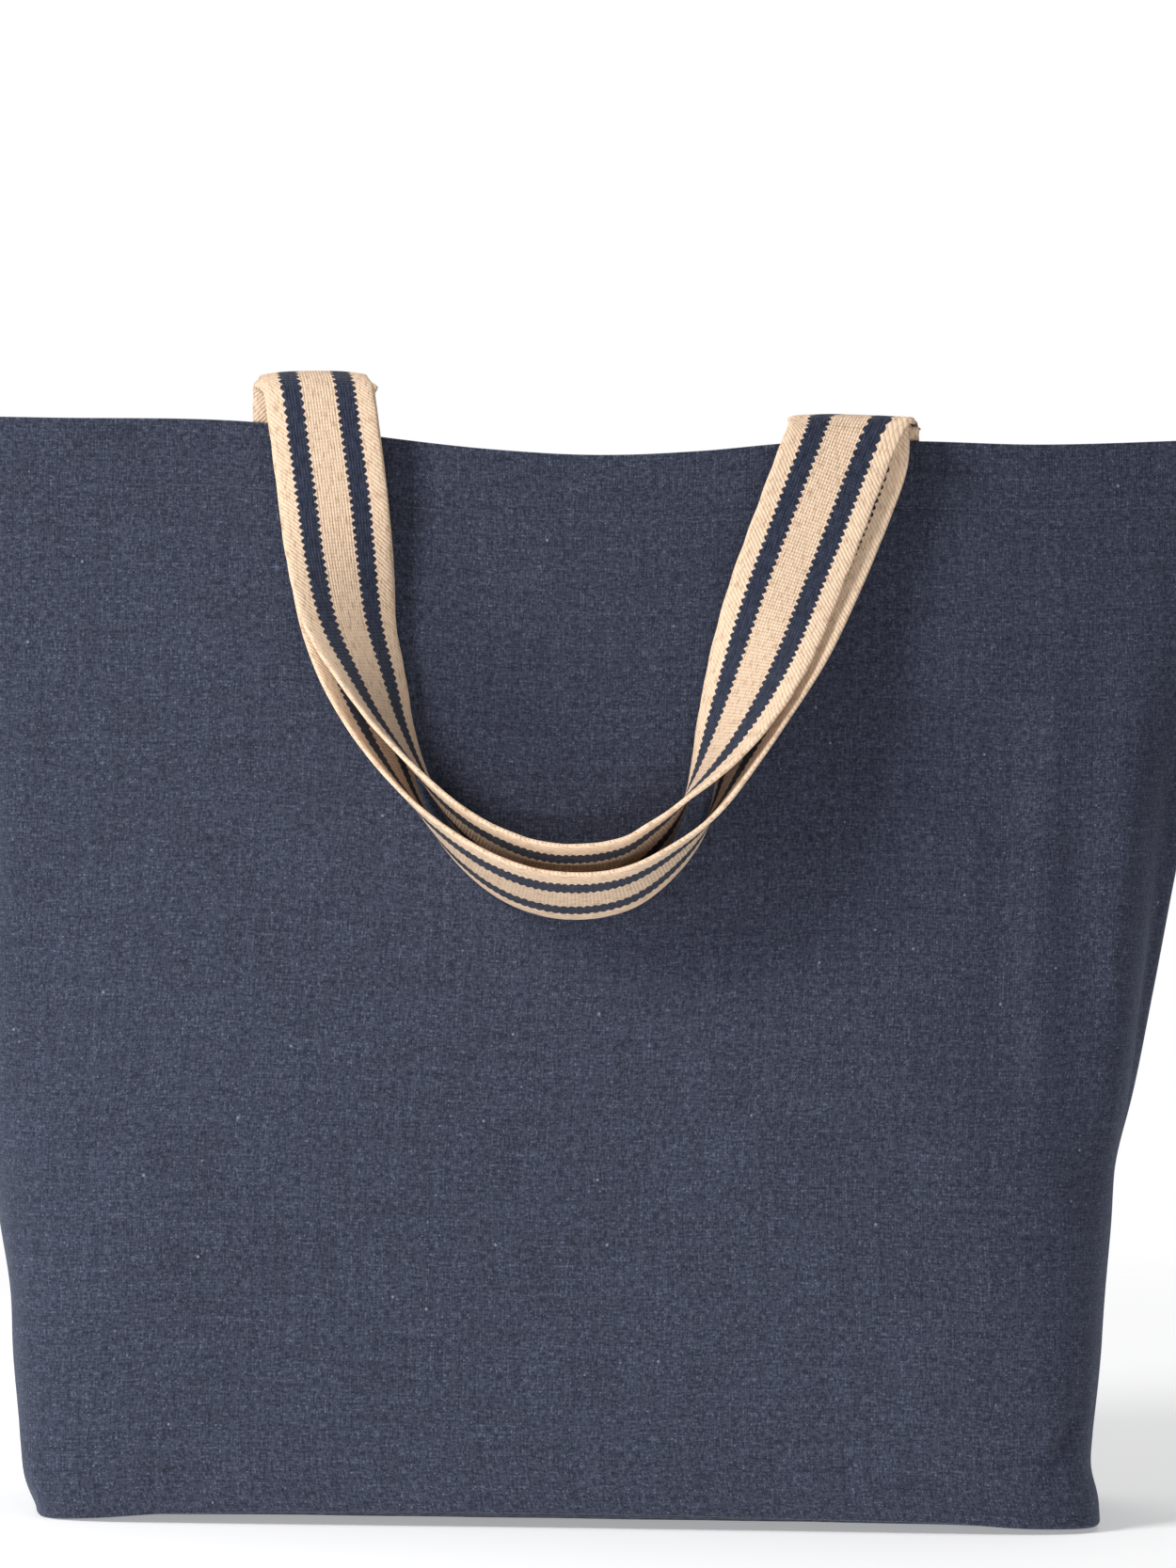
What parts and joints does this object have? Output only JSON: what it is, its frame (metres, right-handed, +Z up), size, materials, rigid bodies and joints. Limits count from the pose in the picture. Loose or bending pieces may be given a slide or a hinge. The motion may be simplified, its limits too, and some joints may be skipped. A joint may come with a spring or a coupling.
{
  "type": "tote_bag",
  "caption": "Open-top canvas tote bag with a flat base, a mouth that closes to a lens, and nested striped webbing handles folded over the front edge",
  "frame": {"origin": "centre of the underside of the flat base panel", "axes": "X along the bag's width to the right as seen from the front, Y from the front panel to the back panel, Z up"},
  "size_m": [0.492, 0.1559, 0.3949],
  "materials": {
    "canvas": "dry heathered plain-weave cotton canvas, slate navy",
    "binding": "matt woven binding tape",
    "thread": "matt sewing thread",
    "webbing": "woven cotton webbing, cream with two navy stripes"
  },
  "bodies": {
    "bag": {"front_panel": "canvas", "back_panel": "canvas", "base_panel": "canvas", "front_top_hem": "canvas", "back_top_hem": "canvas", "left_side_seam_binding": "binding", "right_side_seam_binding": "binding", "base_seam_binding": "binding", "front_hem_topstitch": "thread", "back_hem_topstitch": "thread", "front_left_box_stitch": "thread", "front_right_box_stitch": "thread", "back_left_box_stitch": "thread", "back_right_box_stitch": "thread", "front_handle_left_end": "webbing", "front_handle_right_end": "webbing", "back_handle_left_end": "webbing", "back_handle_right_end": "webbing", "front_handle_left_bend": "webbing", "front_handle_right_bend": "webbing", "back_handle_left_bend": "webbing", "back_handle_right_bend": "webbing"},
    "front_handle": {"front_handle_loop": "webbing"},
    "back_handle": {"back_handle_loop": "webbing"}
  },
  "joints": [
    {"name": "front_handle_lift", "type": "hinge", "parent": "bag", "child": "front_handle", "pos_m": [0, -0.0275, 0.3945], "axis": [-1, 0, 0], "range_deg": [0, 172], "deforming": ["front_handle_left_bend", "front_handle_right_bend"]},
    {"name": "back_handle_lift", "type": "hinge", "parent": "bag", "child": "back_handle", "pos_m": [0, -0.0275, 0.3945], "axis": [-1, 0, 0], "range_deg": [0, 172], "deforming": ["back_handle_left_bend", "back_handle_right_bend"]}
  ],
  "couplings": [
    {"joint": "front_handle_lift", "follows": "back_handle_lift", "ratio": 1}
  ]
}
